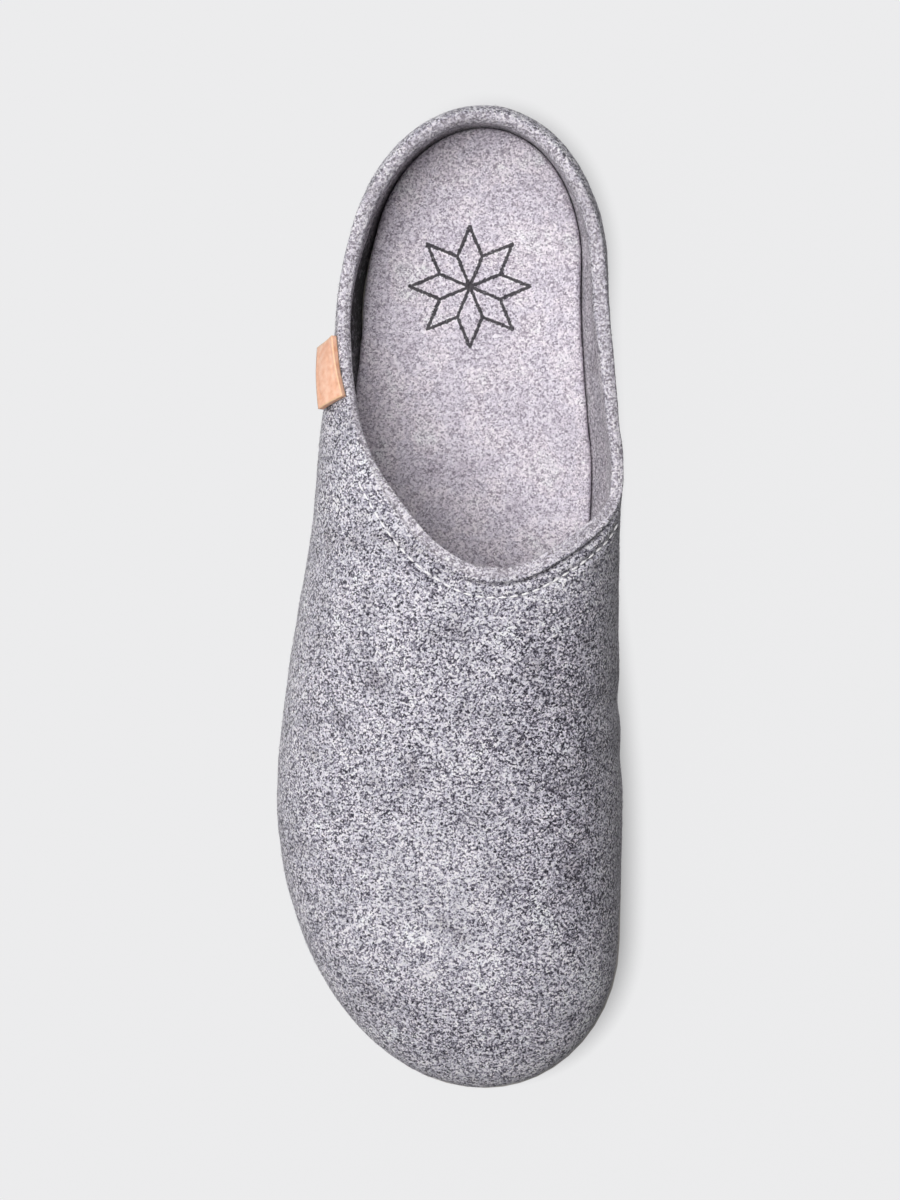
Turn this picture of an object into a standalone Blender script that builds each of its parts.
"""Backless felt clog for a right foot: outsole, hollow felt upper, covered insole and side tag.

Metres, +Z up. The toe points to -Y and the inner side of the foot to +X. The origin lies on the
floor under the middle of the heel. Every section is a share of the sizes named first.
"""

import math
from collections import namedtuple

import bmesh
import bpy
from mathutils import Vector

# Driving sizes of the whole shoe
LENGTH = 0.269
BALL_WIDTH = 0.0953
INSTEP_HEIGHT = 0.068
HEEL_SEAT_SHARE = 0.14

# Outsole
HEEL_SOLE = 0.022
FOREPART_SOLE = 0.0125
TOE_SPRING = 0.007
ARCH_LIFT = 0.0022
SOLE_LIP = 0.0013
LIP_HEIGHT = 0.0026
LIP_GROOVE = 0.0011
SOLE_CHAMFER = 0.0024
GROOVE_WIDTH = 0.0032
GROOVE_DEPTH = 0.0016
GROOVE_PITCH = 0.0105
GROOVE_WAVE = 0.0024
GROOVE_WAVELENGTH = 0.018
GROOVE_MARGIN = 0.0085

# Felt upper
FELT = 0.0033
FEATHER_INSET = 0.0065
RIM_LEAN = 0.0022
BULGE_HEIGHT = 0.024

# Insole
INSOLE_THICKNESS = 0.0045
CUP_RISE = 0.0042
ARCH_RISE = 0.0036
EDGE_ROUND = 0.0016

# Leather side tag
TAG_LENGTH = 0.0165
TAG_THICKNESS = 0.0016
TAG_STANDOFF = 0.0026

# Gap between two pieces that touch, and the width under which a sliver is merged away
GAP = 0.0003
SLIVER = 0.0001

# Facets
AROUND = 88
WALL_STEPS = 4
DOME_STEPS = 14
TAG_STEPS = 8
GROOVE_POINTS = 14

# Outline seen from above: half widths as shares of the ball width, before the round ends
Outline = namedtuple("Outline", "along lateral medial")
OUTLINE = (
    Outline(0.00, 0.437, 0.357),
    Outline(0.08, 0.430, 0.357),
    Outline(0.14, 0.417, 0.357),
    Outline(0.17, 0.418, 0.357),
    Outline(0.23, 0.424, 0.366),
    Outline(0.28, 0.445, 0.376),
    Outline(0.32, 0.463, 0.383),
    Outline(0.37, 0.478, 0.396),
    Outline(0.42, 0.491, 0.391),
    Outline(0.52, 0.541, 0.387),
    Outline(0.61, 0.579, 0.393),
    Outline(0.70, 0.601, 0.399),
    Outline(0.80, 0.601, 0.392),
    Outline(0.86, 0.601, 0.385),
    Outline(1.00, 0.601, 0.385),
)

# Length of the quarter ellipse that rounds each end, as a share of the length
EndRound = namedtuple("EndRound", "heel toe")
END_ROUND = {"lateral": EndRound(0.227, 0.30), "medial": EndRound(0.17, 0.15)}

# Side wall: how far its foot is drawn in, and how high its widest line lies above the sole
Wall = namedtuple("Wall", "along inset_lateral inset_medial up_lateral up_medial")
WALL = (
    Wall(0.00, 0.34, 0.34, 0.80, 0.80),
    Wall(0.12, 0.45, 0.58, 0.82, 0.86),
    Wall(0.30, 0.72, 1.00, 0.80, 1.00),
    Wall(0.45, 0.84, 1.00, 0.64, 0.85),
    Wall(0.60, 0.58, 0.55, 0.50, 0.55),
    Wall(0.80, 0.36, 0.18, 0.45, 0.45),
    Wall(0.93, 0.15, 0.08, 0.38, 0.38),
    Wall(1.00, 0.05, 0.05, 0.35, 0.35),
)

# Cross sections: crest height as a share of the instep height, crest place as a share of the
# ball width, and how square each shoulder is
Section = namedtuple("Section", "along crest shift square_lateral square_medial")
SECTION = (
    Section(0.00, 0.95, 0.000, 2.2, 2.2),
    Section(0.12, 0.95, 0.008, 2.2, 3.2),
    Section(0.25, 0.96, 0.020, 2.2, 4.0),
    Section(0.37, 0.98, 0.027, 2.2, 3.6),
    Section(0.48, 1.00, 0.034, 2.2, 2.7),
    Section(0.60, 0.94, 0.052, 2.2, 2.5),
    Section(0.70, 0.87, 0.070, 2.2, 2.4),
    Section(0.80, 0.79, 0.068, 2.3, 2.4),
    Section(0.88, 0.72, 0.045, 2.3, 2.3),
    Section(1.00, 0.66, 0.000, 2.2, 2.2),
)
TOE_CAP_SHARE = 0.15

# Collar line: for each share of the way round from heel to toe, how far the collar has come from
# heel to throat, how far it has climbed to the crest, and how far it leans out of the wall
Collar = namedtuple(
    "Collar", "way reach_lateral climb_lateral lean_lateral reach_medial climb_medial lean_medial"
)
COLLAR = (
    Collar(0.00, 0.000, 0.160, -1.0, 0.000, 0.160, -1.0),
    Collar(0.15, 0.219, 0.165, -0.45, 0.219, 0.150, -0.9),
    Collar(0.25, 0.377, 0.195, 0.6, 0.377, 0.138, -0.2),
    Collar(0.30, 0.456, 0.215, 0.6, 0.456, 0.130, 0.1),
    Collar(0.40, 0.590, 0.405, 0.1, 0.640, 0.140, 0.6),
    Collar(0.46, 0.660, 0.515, 0.0, 0.706, 0.170, 0.6),
    Collar(0.55, 0.745, 0.655, 0.0, 0.760, 0.310, 0.3),
    Collar(0.65, 0.820, 0.770, 0.0, 0.815, 0.550, 0.0),
    Collar(0.75, 0.880, 0.860, 0.0, 0.868, 0.740, 0.0),
    Collar(0.88, 0.945, 0.940, 0.0, 0.934, 0.885, 0.0),
    Collar(1.00, 1.000, 1.000, 0.0, 1.000, 1.000, 0.0),
)
THROAT_SHARE = 0.478

# Stretches of the sole, as shares of the length from the back of the heel
HEEL_FLAT = (0.045, 0.30)
ARCH_PEAK = (0.40, 0.48)
FOREPART_FLAT = (0.58, 0.80)
BALL_SEAT_SHARE = 0.69
HEEL_DROP = (0.22, 0.60)

# Stretches of the insole: its heel cup fades out, its inner arch swells and fades
CUP_FADE = (0.25, 0.62)
ARCH_SWELL = (0.16, 0.34)
ARCH_FADE = (0.40, 0.60)

# Tag's two long edges: where each starts, as a share of the length, and its climb at either end
TagEdge = namedtuple("TagEdge", "start climb_rear climb_front")
TAG_LOWER = TagEdge(0.248, 0.00, 0.17)
TAG_UPPER = TagEdge(0.235, 0.20, 0.37)
TAG_FRONT_HELD = 0.7

HEEL_BACK = HEEL_SEAT_SHARE * LENGTH
RAMP_STEEPEST = 1.5

# Small share of a turn, length or climb, for directions along a curve, and steps of a search
NUDGE = 0.001
HALVINGS = 24


def smooth(rows, column, at, open_ends=False):
    """Cubic through a table's column that never overshoots, read at its first column."""
    keys = [row[0] for row in rows]
    values = [getattr(row, column) for row in rows]
    at = min(max(at, keys[0]), keys[-1])
    last = len(keys) - 1
    low = next(k for k in range(last) if at <= keys[k + 1])
    rises = [(values[k + 1] - values[k]) / (keys[k + 1] - keys[k]) for k in range(last)]

    def slope(k):
        if k in (0, last):
            return rises[min(k, last - 1)] if open_ends else 0.0
        before, after = rises[k - 1], rises[k]
        return 2 * before * after / (before + after) if before * after > 0 else 0.0

    span = keys[low + 1] - keys[low]
    u = (at - keys[low]) / span
    start = values[low] * (2 * u**3 - 3 * u**2 + 1) + span * slope(low) * (u**3 - 2 * u**2 + u)
    end = values[low + 1] * (3 * u**2 - 2 * u**3) + span * slope(low + 1) * (u**3 - u**2)
    return start + end


def ramp(value, start, end):
    """Zero before start, one after end, with soft ends and RAMP_STEEPEST in the middle."""
    u = min(max((value - start) / (end - start), 0.0), 1.0)
    return u * u * (3 - 2 * u)


def quarter_round(reach):
    """Half width of a quarter ellipse, for a share of its length from its wide end."""
    return math.sqrt(max(0.0, 1 - min(reach, 1.0) ** 2)) if reach > 0 else 1.0


def half_width(side, along):
    """Outline's half width on one side at a share of the length."""
    ends = END_ROUND[side]
    heel = quarter_round((ends.heel - along) / ends.heel)
    toe = quarter_round((along - 1 + ends.toe) / ends.toe)
    return BALL_WIDTH * smooth(OUTLINE, side, along) * heel * toe


def side_and_way(turn):
    """Side of the foot and the way from heel to toe, for a turn round the shoe."""
    turn = turn % 1.0
    return ("lateral", 2 * turn) if turn <= 0.5 else ("medial", 2 - 2 * turn)


def along_of(way):
    """Share of the length for a share of the way, close together at both ends."""
    return (1 - math.cos(math.pi * way)) / 2


def y_of(along):
    return HEEL_BACK - along * LENGTH


def outline_point(turn):
    side, way = side_and_way(turn)
    along = along_of(way)
    sign = -1 if side == "lateral" else 1
    return Vector((sign * half_width(side, along), y_of(along)))


def outline_normal(turn):
    """Direction square to the outline, pointing away from the foot."""
    tangent = outline_point(turn + NUDGE) - outline_point(turn - NUDGE)
    return Vector((tangent.y, -tangent.x)).normalized()


def spring(along):
    """Lift of the toe end of the sole."""
    start = FOREPART_FLAT[1]
    return TOE_SPRING * max(0.0, (along - start) / (1 - start)) ** 1.8


def sole_bottom(along):
    arch = ramp(along, HEEL_FLAT[1], ARCH_PEAK[0]) * (1 - ramp(along, ARCH_PEAK[1], FOREPART_FLAT[0]))
    return ARCH_LIFT * arch + spring(along)


def sole_top(along):
    drop = ramp(along, *HEEL_DROP)
    return HEEL_SOLE + (FOREPART_SOLE - HEEL_SOLE) * drop + spring(along)


def wall_inset(side, along):
    return FEATHER_INSET * smooth(WALL, "inset_" + side, along)


def bulge_up(side, along):
    return BULGE_HEIGHT * smooth(WALL, "up_" + side, along)


def wall_offset(side, along, above_sole):
    """Plan offset of the felt's outside from the outline, at a height above the sole."""
    return -wall_inset(side, along) * (1 - ramp(above_sole, 0.0, bulge_up(side, along)))


def bulge_height(side, along):
    return sole_top(along) + GAP + bulge_up(side, along)


def crest_rise(side, along):
    """Height of the crest above the widest line, rounded off over the toe cap."""
    toe = quarter_round((along - 1 + TOE_CAP_SHARE) / TOE_CAP_SHARE)
    return (INSTEP_HEIGHT * smooth(SECTION, "crest", along) - bulge_height(side, along)) * toe


def section_frame(side, along):
    """Crest's x, the signed span from it to the outline, and the shoulder's exponent."""
    crest_x = BALL_WIDTH * smooth(SECTION, "shift", along)
    sign = -1 if side == "lateral" else 1
    return crest_x, sign * half_width(side, along) - crest_x, smooth(SECTION, "square_" + side, along)


def dome_point(side, along, climb):
    """Point of the last's surface; climb runs from 0 at the outline to 1 at the crest."""
    crest_x, span, square = section_frame(side, along)
    angle = climb * math.pi / 2
    x = crest_x + span * max(0.0, math.cos(angle)) ** (2 / square)
    z = bulge_height(side, along) + crest_rise(side, along) * math.sin(angle) ** (2 / square)
    return Vector((x, y_of(along), z))


def dome_over(x, along):
    """Point of the last's surface above a place in plan."""
    crest_x = BALL_WIDTH * smooth(SECTION, "shift", along)
    side = "lateral" if x < crest_x else "medial"
    _, span, square = section_frame(side, along)
    share = min(1.0, (x - crest_x) / span) if abs(span) > 1e-9 else 1.0
    rise = crest_rise(side, along) * (1 - share**square) ** (1 / square)
    return Vector((x, y_of(along), bulge_height(side, along) + rise))


def rim_shift(turn, rise):
    """How far the wall is moved out by the collar's lean, which grows towards the collar."""
    side, way = side_and_way(turn)
    lean = outline_normal(turn) * RIM_LEAN * smooth(COLLAR, "lean_" + side, way) * rise**2
    return Vector((lean.x, lean.y, 0.0))


def upper_point(turn, rise):
    """Point of the upper's outside; rise runs from 0 at the widest line to 1 at the collar."""
    side, way = side_and_way(turn)
    edge = along_of(way)
    collar_along = THROAT_SHARE * along_of(smooth(COLLAR, "reach_" + side, way, open_ends=True))
    collar_climb = smooth(COLLAR, "climb_" + side, way, open_ends=way > 0.5)
    around_wall = dome_point(side, edge + (collar_along - edge) * rise, collar_climb * rise)
    around_wall += rim_shift(turn, rise)
    front = ramp(way, 0.50, 0.76)
    if front == 0:
        return around_wall
    start = outline_point(turn)
    end = dome_point(side, collar_along, collar_climb)
    reach = 1 - math.cos(math.pi / 2 * rise)
    plan_x = start.x + (end.x - start.x) * reach
    plan_along = edge + (collar_along - edge) * reach
    return around_wall.lerp(dome_over(plan_x, plan_along), front)


def wall_point(turn, above_sole, inward=0.0):
    """Point of the side wall under its widest line, moved inward by a horizontal distance."""
    side, way = side_and_way(turn)
    along = along_of(way)
    offset = wall_offset(side, along, above_sole) - inward
    place = outline_point(turn) + outline_normal(turn) * offset
    return Vector((place.x, place.y, sole_top(along) + GAP + above_sole))


def turns():
    return [index / AROUND for index in range(AROUND)]


def add_rings(mesh, rings):
    """Quads between rings of equal length, each ring's last point joined to its first."""
    made = [[mesh.verts.new(point) for point in ring] for ring in rings]
    for lower, higher in zip(made, made[1:]):
        for index in range(AROUND):
            after = (index + 1) % AROUND
            mesh.faces.new((lower[index], lower[after], higher[after], higher[index]))
    return made


def close_ring(mesh, ring):
    """Ladder of faces across a ring, from its lateral half to its medial half."""
    half = AROUND // 2
    for index in range(half):
        corners = (ring[index], ring[index + 1], ring[-index - 1], ring[-index])
        mesh.faces.new(list(dict.fromkeys(corners)))


def finish_mesh(name, mesh, collection, material):
    """Face the mesh outward, shade it smooth and put it in the clog's collection."""
    bmesh.ops.recalc_face_normals(mesh, faces=mesh.faces)
    data = bpy.data.meshes.new(name)
    mesh.to_mesh(data)
    mesh.free()
    data.shade_smooth()
    data.set_sharp_from_angle(angle=math.radians(40))
    data.materials.append(material)
    piece = bpy.data.objects.new(name, data)
    collection.objects.link(piece)
    return piece


def plain_material(name, colour, roughness):
    material = bpy.data.materials.new(name)
    material.use_nodes = True
    shader = material.node_tree.nodes["Principled BSDF"]
    shader.inputs["Base Color"].default_value = (*colour, 1.0)
    shader.inputs["Roughness"].default_value = roughness
    shader.inputs["Metallic"].default_value = 0.0
    return material


def shrunk(place, share):
    """Plan point drawn towards the middle line, and less so towards the middle of the length."""
    middle = y_of(0.5)
    along_share = 0.75 + 0.25 * share
    return Vector((place.x * share, middle + (place.y - middle) * along_share))


def along_at(place):
    return (HEEL_BACK - place.y) / LENGTH


def sole_edge(turn, offset):
    """Plan point of the outsole's own outline, with an extra offset outward."""
    side, way = side_and_way(turn)
    lip = SOLE_LIP - wall_inset(side, along_of(way))
    return outline_point(turn) + outline_normal(turn) * (lip + offset)


def sole_ring(offset, height, share=1.0):
    """Ring of the outsole; height gives z from a share of the length."""
    ring = []
    for turn in turns():
        place = shrunk(sole_edge(turn, offset), share)
        ring.append(Vector((place.x, place.y, height(min(max(along_at(place), 0.0), 1.0)))))
    return ring


def groove_cutter(name, along, collection):
    """Wavy bar across the tread, from one margin of the sole to the other."""
    sides = []
    for side, sign in (("lateral", -1), ("medial", 1)):
        edge = half_width(side, along) - wall_inset(side, along) - GROOVE_MARGIN
        sides.append(sign * edge)
    spine = []
    for index in range(GROOVE_POINTS + 1):
        x = sides[0] + (sides[1] - sides[0]) * index / GROOVE_POINTS
        wave = GROOVE_WAVE * math.sin(2 * math.pi * x / GROOVE_WAVELENGTH)
        spine.append((x, y_of(along) + wave))
    front = [(x, y - GROOVE_WIDTH / 2) for x, y in spine]
    back = [(x, y + GROOVE_WIDTH / 2) for x, y in reversed(spine)]

    flat = bpy.data.curves.new(name, "CURVE")
    flat.dimensions = "2D"
    flat.fill_mode = "BOTH"
    flat.extrude = GROOVE_DEPTH
    spline = flat.splines.new("POLY")
    spline.points.add(len(front) + len(back) - 1)
    for point, (x, y) in zip(spline.points, front + back):
        point.co = (x, y, 0.0, 1.0)
    spline.use_cyclic_u = True
    bar = bpy.data.objects.new(name, flat)
    collection.objects.link(bar)

    solid = bpy.data.meshes.new_from_object(bar.evaluated_get(bpy.context.evaluated_depsgraph_get()))
    welded = bmesh.new()
    welded.from_mesh(solid)
    bmesh.ops.remove_doubles(welded, verts=welded.verts, dist=0.00001)
    bmesh.ops.recalc_face_normals(welded, faces=welded.faces)
    welded.to_mesh(solid)
    welded.free()
    cutter = bpy.data.objects.new(name + "_bar", solid)
    cutter.hide_render = True
    cutter.display_type = "WIRE"
    collection.objects.link(cutter)
    bpy.data.objects.remove(bar)
    return cutter


def groove_places(seat, flat):
    """Shares of the length where grooves lie in a flat stretch, with a whole lug at its seat."""
    pitch = GROOVE_PITCH / LENGTH
    places = []
    for way, room in ((-1, seat - flat[0]), (1, flat[1] - seat)):
        count = int(room / pitch)
        places += [seat + way * (index + 0.5) * pitch for index in range(count)]
    return sorted(places)


def make_outsole(parts, cutters):
    """Rubber sole: flat heel and forepart, lifted arch and toe, lip round its top edge."""
    side_low = SOLE_CHAMFER
    rings = [
        sole_ring(-SOLE_CHAMFER, sole_bottom, 0.5),
        sole_ring(-SOLE_CHAMFER, sole_bottom),
        sole_ring(-0.3 * SOLE_CHAMFER, lambda t: sole_bottom(t) + 0.3 * side_low),
        sole_ring(0.0, lambda t: sole_bottom(t) + side_low),
        sole_ring(-0.5 * LIP_GROOVE, lambda t: sole_top(t) - LIP_HEIGHT - LIP_GROOVE),
        sole_ring(-LIP_GROOVE, lambda t: sole_top(t) - LIP_HEIGHT - 0.4 * LIP_GROOVE),
        sole_ring(0.0, lambda t: sole_top(t) - LIP_HEIGHT),
        sole_ring(0.0, lambda t: sole_top(t) - 0.25 * LIP_HEIGHT),
        sole_ring(-0.25 * LIP_HEIGHT, sole_top),
        sole_ring(-0.25 * LIP_HEIGHT, sole_top, 0.5),
    ]
    mesh = bmesh.new()
    made = add_rings(mesh, rings)
    close_ring(mesh, made[0])
    close_ring(mesh, made[-1])
    sole = finish_mesh("outsole", mesh, parts, plain_material("pale_rubber", (0.50, 0.49, 0.47), 0.6))

    treads = (("heel", HEEL_SEAT_SHARE, HEEL_FLAT), ("forepart", BALL_SEAT_SHARE, FOREPART_FLAT))
    for name, seat, flat in treads:
        for number, along in enumerate(groove_places(seat, flat)):
            cutter = groove_cutter(f"{name}_groove_{number + 1}", along, cutters)
            cut = sole.modifiers.new(cutter.name, "BOOLEAN")
            cut.operation = "DIFFERENCE"
            cut.object = cutter
    weld = sole.modifiers.new("slivers left by the grooves", "WELD")
    weld.merge_threshold = SLIVER
    return sole


def make_upper(parts):
    """Felt shell from the sole's ledge up to the collar, open above and below."""
    rings = []
    for step in range(WALL_STEPS):
        ring = []
        for turn in turns():
            side, way = side_and_way(turn)
            ring.append(wall_point(turn, bulge_up(side, along_of(way)) * step / WALL_STEPS))
        rings.append(ring)
    for step in range(DOME_STEPS + 1):
        rings.append([upper_point(turn, step / DOME_STEPS) for turn in turns()])
    mesh = bmesh.new()
    add_rings(mesh, rings)
    upper = finish_mesh("upper", mesh, parts, plain_material("grey_felt", (0.40, 0.37, 0.42), 0.95))
    wall = upper.modifiers.new("felt wall", "SOLIDIFY")
    wall.thickness = FELT
    wall.offset = -1.0
    wall.use_even_offset = True
    return upper


def insole_edge_height(side, along):
    """Thickness of the insole at its edge: a heel cup behind and a raised arch inside."""
    cup = CUP_RISE * (1 - ramp(along, *CUP_FADE))
    arch = ARCH_RISE * ramp(along, *ARCH_SWELL) * (1 - ramp(along, *ARCH_FADE))
    return INSOLE_THICKNESS + cup + (arch if side == "medial" else 0.0)


def insole_ring(height_share, extra_inset=0.0, extra_up=0.0):
    """Ring up the insole's side, which follows the inside of the felt wall."""
    ring = []
    for turn in turns():
        side, way = side_and_way(turn)
        along = along_of(way)
        above = height_share * insole_edge_height(side, along)
        lean = RAMP_STEEPEST * wall_inset(side, along) / bulge_up(side, along)
        clear = (FELT + GAP) * math.sqrt(1 + lean * lean)
        ring.append(wall_point(turn, above + extra_up, clear + extra_inset))
    return ring


def insole_top_ring(rim, share):
    """Ring of the insole's dished top, between its rim and its middle line."""
    ring = []
    for turn, edge in zip(turns(), rim):
        side, _ = side_and_way(turn)
        place = shrunk(edge, share)
        along = min(max(along_at(place), 0.0), 1.0)
        rim_rise = insole_edge_height(side, along) - INSOLE_THICKNESS
        z = sole_top(along) + GAP + INSOLE_THICKNESS + rim_rise * share**3
        ring.append(Vector((place.x, place.y, z)))
    return ring


def make_insole(parts):
    """Felt-covered insole, dished under the heel, that fills the upper's floor."""
    foot = insole_ring(0.0)
    under = []
    for edge in foot:
        place = shrunk(edge, 0.5)
        under.append(Vector((place.x, place.y, sole_top(along_at(place)) + GAP)))
    rim = insole_ring(1.0, extra_inset=EDGE_ROUND)
    rings = [under, foot, insole_ring(1.0, extra_up=-EDGE_ROUND), rim]
    rings += [insole_top_ring(rim, share) for share in (0.86, 0.68, 0.46, 0.22)]
    mesh = bmesh.new()
    made = add_rings(mesh, rings)
    close_ring(mesh, made[0])
    close_ring(mesh, made[-1])
    return finish_mesh("insole", mesh, parts, plain_material("insole_felt", (0.53, 0.49, 0.55), 0.9))


def lateral_collar(along):
    """Turn at which the collar passes a share of the length on the outer side, and its climb."""
    low, high = 0.0, 0.5
    for _ in range(HALVINGS):
        turn = (low + high) / 2
        way = side_and_way(turn)[1]
        passed = THROAT_SHARE * along_of(smooth(COLLAR, "reach_lateral", way, open_ends=True))
        if passed < along:
            low = turn
        else:
            high = turn
    return low, smooth(COLLAR, "climb_lateral", way)


def tag_point(forward, upward, outward):
    """Point on the tag; forward and upward are shares of its length and height."""
    start = TAG_LOWER.start + (TAG_UPPER.start - TAG_LOWER.start) * upward
    along = start + forward * TAG_LENGTH / LENGTH
    low = TAG_LOWER.climb_rear + (TAG_LOWER.climb_front - TAG_LOWER.climb_rear) * forward
    high = TAG_UPPER.climb_rear + (TAG_UPPER.climb_front - TAG_UPPER.climb_rear) * forward
    climb = low + (high - low) * upward
    here = dome_point("lateral", along, climb)
    ahead = dome_point("lateral", along + NUDGE, climb) - here
    above = dome_point("lateral", along, climb + NUDGE) - here
    normal = ahead.cross(above).normalized()
    if normal.x > 0:
        normal.negate()
    standoff = TAG_STANDOFF * (1 - upward) ** 1.5 * (1 - TAG_FRONT_HELD * forward)
    turn, collar_climb = lateral_collar(along)
    return here + rim_shift(turn, climb / collar_climb) + normal * (GAP + standoff + outward)


def make_tag(parts):
    """Leather tag on the outer side, its upper edge held and its lower edge standing off."""
    mesh = bmesh.new()
    layers = []
    for outward in (0.0, TAG_THICKNESS):
        rows = []
        for up in range(TAG_STEPS + 1):
            shares = [step / TAG_STEPS for step in range(TAG_STEPS + 1)]
            rows.append([mesh.verts.new(tag_point(share, up / TAG_STEPS, outward)) for share in shares])
        layers.append(rows)
    for rows in layers:
        for low, high in zip(rows, rows[1:]):
            for index in range(TAG_STEPS):
                mesh.faces.new((low[index], low[index + 1], high[index + 1], high[index]))
    borders = []
    for rows in layers:
        left = [row[0] for row in rows[1:-1]]
        right = [row[-1] for row in rows[1:-1]]
        borders.append(rows[0] + right + rows[-1][::-1] + left[::-1])
    inner, outer = borders
    for index in range(len(inner)):
        after = (index + 1) % len(inner)
        mesh.faces.new((inner[index], inner[after], outer[after], outer[index]))
    return finish_mesh("side_tag", mesh, parts, plain_material("tan_leather", (0.84, 0.49, 0.36), 0.55))


def main():
    for item in list(bpy.data.objects):
        bpy.data.objects.remove(item)
    parts = bpy.data.collections.new("felt_clog")
    cutters = bpy.data.collections.new("cutters")
    for collection in (parts, cutters):
        bpy.context.scene.collection.children.link(collection)
    make_outsole(parts, cutters)
    make_upper(parts)
    make_insole(parts)
    make_tag(parts)


main()
